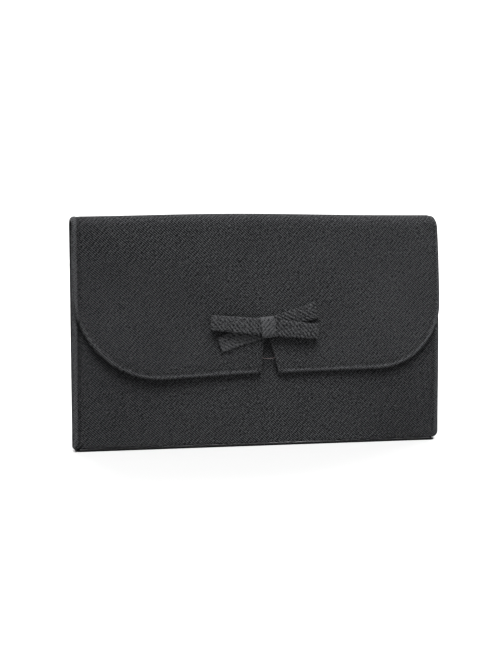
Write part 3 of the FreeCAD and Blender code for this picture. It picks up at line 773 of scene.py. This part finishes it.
def capsules(name, ends, radius, material):
    """Many short rounded threads in one mesh, each between two points and flattened a little."""
    shares = np.array([0.0, 0.12, 0.35, 0.65, 0.88, 1.0])[:, None, None]
    sizes = np.array([0.35, 0.8, 1.0, 1.0, 0.8, 0.35])[:, None, None]
    sides, rings = 6, len(shares)
    angles = 2 * math.pi * np.arange(sides)[:, None] / sides
    shape = grid_faces(rings, sides, wrap=True)
    shape += [tuple(range(sides))[::-1], tuple(range((rings - 1) * sides, rings * sides))]
    verts, faces = [], []
    for index, (start, end) in enumerate(ends):
        forward = unit(end - start)
        across = unit(np.cross(forward, (0.0, 0.0, 1.0) if abs(forward[2]) < 0.9 else (0.0, 1.0, 0.0)))
        ring = across * np.cos(angles) + np.cross(across, forward) * np.sin(angles)
        verts.append(start + (end - start) * shares + ring * radius * sizes)
        faces += [tuple(index * rings * sides + i for i in face) for face in shape]
    verts = np.concatenate(verts).reshape(-1, 3)
    return new_object(name, verts, faces, material)


def seam(outline, inset, place, height, wanted, pitch=3.7, share=0.66):
    """Ends of the stitches along an outline at an inset, where wanted(across, along) holds."""
    flat = outline.draw(inset)
    if outline.closed:
        flat = np.vstack([flat, flat[:1]])
    steps = np.linalg.norm(np.diff(flat, axis=0), axis=1)
    along = np.concatenate([[0], np.cumsum(steps)])
    ends = []
    for start in np.arange(1.0, along[-1] - pitch, pitch):
        marks = np.array([start, start + pitch * share])
        across, down = (np.interp(marks, along, flat[:, axis]) for axis in (0, 1))
        if wanted(across[0], down[0]) and wanted(across[1], down[1]):
            spots = place(across, down, np.full(2, height))
            ends.append((spots[0], spots[1]))
    return ends


def make_seams():
    """Stitches in the grooves beside the turned rims."""
    def flap_rim(across, along):
        return along < flap_along(NOTCH_LOW) - FLAP_RIM + 9 and not (
            NOTCH_LEFT - 3.6 < across < NOTCH_RIGHT + 3.6)

    def side(across, along):
        return abs(across) > HALF - SIDE_RIM - 0.5

    def side_or_mouth(across, along):
        return side(across, along) or along < SIDE_RIM + 0.5
    thread, sunk, front_sunk = 0.24, -0.22, -0.2
    flap = capsules("flap_seam", seam(FLAP_EDGE, FLAP_RIM, on_flap, sunk, flap_rim), thread, SEAM_THREAD)
    back = capsules("back_seam", seam(BACK_EDGE, SIDE_RIM, on_back, sunk, side), thread, SEAM_THREAD)
    front = capsules("front_seam", seam(FRONT_EDGE, SIDE_RIM, on_front, front_sunk, side_or_mouth),
                     thread, SEAM_THREAD)
    hang(flap, back, front)


# ---- bow
FLAP_FACE = math.radians(FRONT_LEAN)


def on_bow(right, up, depth, tilt):
    """Point in front of the flap: right and up in the tilted bow, depth out from the flap's face."""
    angle = math.radians(tilt)
    across = BOW_ACROSS + right * math.cos(angle) + up * math.sin(angle)
    height = BOW_UP - right * math.sin(angle) + up * math.cos(angle)
    out = FLAP_OUTER + depth
    y = -out * math.cos(FLAP_FACE) - height * math.sin(FLAP_FACE)
    z = HINGE_Z - out * math.sin(FLAP_FACE) + height * math.cos(FLAP_FACE)
    return np.stack([across, y, z], axis=-1)


def curve(points, count):
    """Smooth line through given points, evenly spaced by length."""
    points = np.array(points, float)
    padded = np.vstack([2 * points[0] - points[1], points, 2 * points[-1] - points[-2]])
    fine = []
    for before, start, end, after in zip(padded, padded[1:], padded[2:], padded[3:]):
        for t in np.linspace(0, 1, 24, endpoint=False):
            fine.append(0.5 * (2 * start + (end - before) * t
                               + (2 * before - 5 * start + 4 * end - after) * t ** 2
                               + (3 * start - before - 3 * end + after) * t ** 3))
    fine = np.array([*fine, points[-1]])
    length = np.concatenate([[0], np.cumsum(np.linalg.norm(np.diff(fine, axis=0), axis=1))])
    marks = np.linspace(0, length[-1], count)
    return np.stack([np.interp(marks, length, fine[:, axis]) for axis in (0, 1)], axis=1), marks


def band_section(width, cloth):
    """Half-round edged, slightly crowned cross-section of a folded strip: (across, out) points."""
    half, round_ = width / 2, cloth / 2
    points = []
    for side in (1, -1):
        for share in np.linspace(-0.92, 0.92, 9):
            crown = 0.14 * (1 - share ** 2)
            points.append((side * share * (half - round_), side * (round_ + crown)))
        points.append((side * (half - 0.3 * round_), side * 0.62 * round_))
        points.append((side * half, 0.0))
        points.append((side * (half - 0.3 * round_), -side * 0.62 * round_))
    return np.array(points)


def band(name, path, tilt, cloth, widths, replaced, shade, flow=1, lift=0, knot=False):
    """Folded strip swept along a path of (run, depth) points in the bow's plane.

    run goes right, or up in the knot, whose path is closed. widths scales the strip's width along
    the path; shade is painted light, how much lighter the piece is painted for how it lies in the
    light; flow the way its weave runs, and lift moves it up.
    """
    line, marks = path
    if knot:
        line, marks = line[:-1], marks[:-1]
    ahead = np.roll(line, -1, axis=0) - np.roll(line, 1, axis=0)
    if not knot:
        ahead[0], ahead[-1] = line[1] - line[0], line[-1] - line[-2]
    ahead /= np.linalg.norm(ahead, axis=1)[:, None]
    section = band_section(KNOT if knot else BAND, cloth)
    verts, uv = [], []
    for index, ((run, depth), (dx, dy)) in enumerate(zip(line, ahead)):
        scale = np.interp(index / (len(line) - 1), np.linspace(0, 1, len(widths)), widths)
        across = section[:, 0] * scale
        out_run, out_depth = run - section[:, 1] * dy, depth + section[:, 1] * dx
        right, up = (across, out_run) if knot else (out_run, across)
        verts.append(on_bow(right, up + lift, out_depth, tilt))
        uv += [(marks[index] * flow, value if knot else -value) for value in across]
    verts = np.vstack(verts)
    count = len(section)
    faces = rod_faces(len(line), count)
    if knot:
        last = (len(line) - 1) * count
        joined = [(last + i, last + (i + 1) % count, (i + 1) % count, i) for i in range(count)]
        faces = faces[:-2] + joined
    obj = face_outward(new_object(name, verts, faces, BOW_WOOL, uv, [shade] * len(verts)))
    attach(obj, "flap")
    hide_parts(replaced)


def make_bow():
    """Two loops, two tails and the knot round them."""
    # Each loop's shade is painted light, for how it lies in the light
    for name, side, reach, lift, shade in (("left", -1, 36.9, 0.5, 0.08), ("right", 1, 33.6, 0.2, 0.06)):
        loop = ((2.0, 1.9), (12.0, 1.7), (reach - 7, 1.55 + lift), (reach - 1.6, 1.75 + lift),
                (reach - 0.35, 2.75 + lift), (reach - 1.5, 3.75 + lift), (reach - 7, 4.15 + lift),
                (reach * 0.55, 4.35), (9.0, 3.9), (2.0, 3.3))
        path = curve([(side * run, depth) for run, depth in loop], 90)
        band(f"bow_loop_cloth_{name}", path, LOOP_TILT, 1.0, (0.98, 0.95, 0.92, 0.90, 0.93, 0.99, 1.01),
             f"bow_loop_{name}", shade, flow=-side)
    # The tails' shade is painted light; the left tail's is higher, painted light over the loop's shadow
    for name, side, reach, lift, shade, tilt in (("left", -1, 32.8, -0.9, 0.15, -17.5),
                                                 ("right", 1, 34.1, 0.1, 0.07, -17.4)):
        tail = ((3.2, 0.75), (12.0, 0.62), (22.0, 0.7), (reach, 1.15))
        path = curve([(side * run, depth) for run, depth in tail], 40)
        band(f"bow_tail_cloth_{name}", path, tilt, 0.85, (1.0, 0.98, 0.98, 1.0), f"bow_tail_{name}",
             shade, flow=side, lift=lift)
    knot = curve([(-6.1, 0.9), (-6.2, 2.6), (-5.5, 4.3), (-3.0, 4.95), (0.0, 5.1), (3.0, 4.95),
                  (5.5, 4.3), (6.2, 2.6), (6.1, 0.9), (5.0, 0.5), (0.0, 0.45), (-5.0, 0.5),
                  (-6.1, 0.9)], 96)
    # The knot is painted lighter still: painted light where it stands out into the light
    band("bow_knot_cloth", knot, KNOT_TILT, 0.9, (1.0, 1.0), "bow_knot", 0.23, knot=True)


def make_tack():
    """Pale thread bar across the notch."""
    up, radius = 54.8, 0.1
    share = (up - NOTCH_LOW) / (NOTCH_APEX[1] - NOTCH_LOW)
    left = NOTCH_LEFT + (NOTCH_APEX[0] - NOTCH_LEFT) * share - 0.5
    right = NOTCH_RIGHT + (NOTCH_APEX[0] - NOTCH_RIGHT) * share + 0.5
    stations, sides, sag, depth = np.linspace(0, 1, 15), 8, 0.6, -0.45
    heights = np.array([flap_along(up + 0.15 - sag * math.sin(math.pi * t)) for t in stations])
    centres = on_flap(left + (right - left) * stations, heights, np.full(len(stations), depth))
    angles = [2 * math.pi * k / sides for k in range(sides)]
    verts = [centre + radius * np.array([0, math.cos(a), math.sin(a)])
             for centre in centres for a in angles]
    faces = rod_faces(len(stations), sides)
    tack = face_outward(new_object("notch_tack_thread", verts, faces, PALE_THREAD))
    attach(tack, "flap")
    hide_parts("notch_tack")


# ---- inside
def make_pocket():
    """Slip pocket on the back lining, with a hem, open a little at its top."""
    half, low, high, hem = 60.0, 52.0, 118.0, 9.0
    thick, lining_face, opening, stitched = 0.3, 2.25, 0.3, -0.12
    rows = [*np.linspace(low, high - hem, 18), high - hem + 0.6, *np.linspace(high - hem + 1.5, high, 5)]
    x, z = np.meshgrid(np.linspace(-half, half, 50), rows)
    along = np.repeat([BACK.at_height(row) for row in rows], x.shape[1])
    bulge = opening * ((z - low) / (high - low)) ** 3 * (1 - np.abs(x / half) ** 6)
    bulge += np.where((z > high - hem) & (z < high - hem + 1), stitched, 0)
    layers = [on_back(x.ravel(), along, -(lining_face + bulge + out).ravel()).reshape(*x.shape, 3)
              for out in (thick, 0)]
    pocket = face_outward(new_object("slip_pocket_cloth", *slab(*layers), SATIN))
    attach(pocket, "back")
    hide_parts("slip_pocket")


def make_interlining():
    """Padding strip under the flat of the top fold, between cloth and lining."""
    short, upper, lower = 9, TOP - 0.95, TOP - 1.65
    x, y = np.meshgrid(np.linspace(-HALF + short, HALF - short, 40), np.linspace(-1.2, 2.5, 6))
    layers = [np.stack([x, y, z + arch(x, z)], axis=-1) for z in (upper, lower)]
    strip = face_outward(new_object("top_interlining", *slab(*layers), FELT))
    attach(strip, "top")
    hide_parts("spine_interlining")


def leaf_slab(name, grid, thick, material, flat):
    """Thin closed piece over a grid of points, thickened along its own normal."""
    normal = np.cross(np.gradient(grid, axis=1), np.gradient(grid, axis=0))
    normal /= np.linalg.norm(normal, axis=2)[:, :, None]
    verts, faces = slab(grid, grid + normal * thick)
    return face_outward(new_object(name, verts, faces, material, np.vstack([flat, flat])))


def towards_fold(fold, line):
    """Unit direction in a gusset leaf, square to its panel's side line and towards the fold."""
    return unit(fold - line * (fold @ line))


def make_gusset(name, side):
    """Folded side: a rear leaf sewn to the back panel and a front leaf that meets the front panel."""
    foot = np.array([side * (HALF - 2.0), 0.0, HINGE_Z])
    fold = np.array(JOINTS[f"gusset_middle_fold_{name}"]["axis"]) * -side
    back_lean, front_lean = math.radians(BACK_LEAN), math.radians(FRONT_LEAN)
    back_line = np.array([0, math.sin(back_lean), math.cos(back_lean)])
    front_line = np.array([0, -math.sin(front_lean), math.cos(front_lean)])
    rear_in, front_in = towards_fold(fold, back_line), towards_fold(fold, front_line)
    lengths = np.linspace(7.0, 132.5, 40)[:, None]
    wide = lengths * math.tan(math.radians(10))

    def leaf(line, inward, reach):
        """Points along a panel's side line and across the leaf, moved as the panels' edges are."""
        points = foot + lengths[..., None] * line + reach[..., None] * inward
        points[..., 0] = settle(points[..., 0], points[..., 2])
        return points

    def unrolled(reach):
        """Flat (across, along) of the leaf's points."""
        return np.stack([reach, np.broadcast_to(-lengths, reach.shape)], axis=-1).reshape(-1, 2)
    # The rear leaf runs from the back panel's side almost to the fold
    rear_start = -0.6
    rear_end = np.maximum(wide - 2.2, wide * 0.55)
    rear_reach = rear_start + (rear_end - rear_start) * np.linspace(0, 1, 12)
    rear_grid, rear_flat = leaf(back_line, rear_in, rear_reach), unrolled(rear_reach)
    # The front leaf starts on the rear one, turns at the fold and runs to the front panel
    start = np.maximum(wide - 5.0, wide * 0.3)
    rear_part = start + (wide - start) * np.linspace(0, 1, 8)[:-1]
    fore_part = wide * (1 - np.linspace(0, 1, 16) ** 1.6)
    front_grid = np.hstack([leaf(back_line, rear_in, rear_part), leaf(front_line, front_in, fore_part)])
    front_flat = unrolled(np.hstack([rear_part, 2 * wide - fore_part]))
    turn = 7            # the front leaf's column on the fold
    off_fold = front_grid[:, turn] - (front_grid[:, turn - 1] + front_grid[:, turn + 1]) / 2
    rear_shift, fore_shift = np.cross(back_line, rear_in), np.cross(front_line, front_in)
    rear_shift *= np.sign(rear_shift[1])
    fore_shift *= -np.sign(fore_shift[1])
    bend = np.cross(fold, (side, 0, 0))
    bend *= 0.6 * np.sign(bend[1]) / np.linalg.norm(bend)
    for suffix, shift, thick, material, slot, nodes in (
            ("", 0.0, 0.28, WOOL, "wool_twill", ("gusset_rear_{}", "gusset_front_{}")),
            ("_lining", 0.32, 0.12, SATIN, "satin_lining",
             ("gusset_rear_lining_{}", "gusset_front_lining_{}"))):
        out = shift + thick / 2
        rear_points, fore_points = rear_grid + rear_shift * out, front_grid.copy()
        fore_points[:, :turn] += rear_shift * out
        fore_points[:, turn:] += fore_shift * out
        fore_points[:, turn] = (fore_points[:, turn - 1] + fore_points[:, turn + 1]) / 2 + off_fold
        rear = leaf_slab(f"gusset_rear{suffix}_cloth_{name}", rear_points, thick, material, rear_flat)
        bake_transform(rear)
        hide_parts(nodes[0].format(name))
        fore = leaf_slab(f"gusset_front{suffix}_cloth_{name}", fore_points, thick, material, front_flat)
        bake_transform(fore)
        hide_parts(nodes[1].format(name))


def dress_cad():
    """Materials of the CAD pieces that stay: boards, discs and the base lining."""
    for part, material in (("back_board", BOARD), ("front_board", BOARD), ("base_lining", SATIN),
                           ("front_keeper_disc", STEEL), ("flap_magnet_disc", STEEL)):
        materials = frame["nodes"][part].data.materials
        materials.clear()
        materials.append(material)


# ---- stage, lights, camera
KEY, REAR, SKY_TOP = 4.7, 2.7, 0.12
FLOOR_WHITE = 0.462


def make_floor():
    """Pale floor, flat near the purse and out to the horizon."""
    reach, count = 6000.0, 25
    marks = np.linspace(-1, 1, count) ** 3 * reach
    verts = [(x, y, 0.0) for y in marks for x in marks]
    material, _, shader = new_material("white_floor")
    set_inputs(shader, {"Base Color": (FLOOR_WHITE, FLOOR_WHITE, FLOOR_WHITE, 1), "Roughness": 0.8})
    floor = face_outward(new_object("floor", verts, grid_faces(count, count), material), (0, 0, 1))


def aimed(name, data, azimuth, elevation):
    """Light or camera, looking back from degrees right of the front and up."""
    turn, lift = math.radians(azimuth), math.radians(elevation)
    level = math.cos(lift)
    out = Vector((math.sin(turn) * level, -math.cos(turn) * level, math.sin(lift)))
    obj = bpy.data.objects.new(name, data)
    obj.rotation_mode = "QUATERNION"
    obj.rotation_quaternion = (-out).to_track_quat("-Z", "Y")
    obj.location = out
    bpy.context.scene.collection.objects.link(obj)
    return obj, out


def make_lights():
    """White round the horizon, a broad soft light high in front, and a weak one behind."""
    world = bpy.data.worlds.new("studio")
    bpy.context.scene.world = world
    world.use_nodes = True
    tree = world.node_tree
    split = node(tree, "ShaderNodeSeparateXYZ")
    tree.links.new(node(tree, "ShaderNodeTexCoord").outputs["Generated"], split.inputs[0])
    fade = map_range(tree, split.outputs[2], 0.22, 0.5, 1.0, SKY_TOP, "SMOOTHSTEP")
    background = tree.nodes["Background"]
    tree.links.new(fade, background.inputs[1])
    background.inputs[0].default_value = (1, 1, 1, 1)
    for name, azimuth, elevation, softness, power in (
            ("key", -9, 61, 36, KEY), ("rear", 160, 22, 60, REAR)):
        data = bpy.data.lights.new(name, "SUN")
        data.energy = power
        data.angle = math.radians(softness)
        aimed(name, data, azimuth, elevation)


def make_camera():
    """Camera as fitted to the outline in the photograph."""
    target, distance, roll = Vector((-5.87, 0, 77.73)), 1000.2, math.radians(-0.2)
    data = bpy.data.cameras.new("camera")
    data.sensor_width = 36.0
    data.lens = 86.4
    camera, back = aimed("camera", data, -12.914, 3.618)
    camera.location = (target + back * distance) * MM
    camera.rotation_quaternion = camera.rotation_quaternion @ Quaternion((0, 0, 1), roll)
    bpy.context.scene.camera = camera


make_cloth()
make_flap_board()
make_linings()
make_base()
make_seams()
make_bow()
make_tack()
make_pocket()
make_interlining()
for gusset_name, gusset_side in (("left", -1), ("right", 1)):
    make_gusset(gusset_name, gusset_side)
dress_cad()
make_floor()
make_lights()
make_camera()
bpy.context.scene.view_settings.view_transform = "Standard"
bpy.context.scene.view_settings.look = "High Contrast"
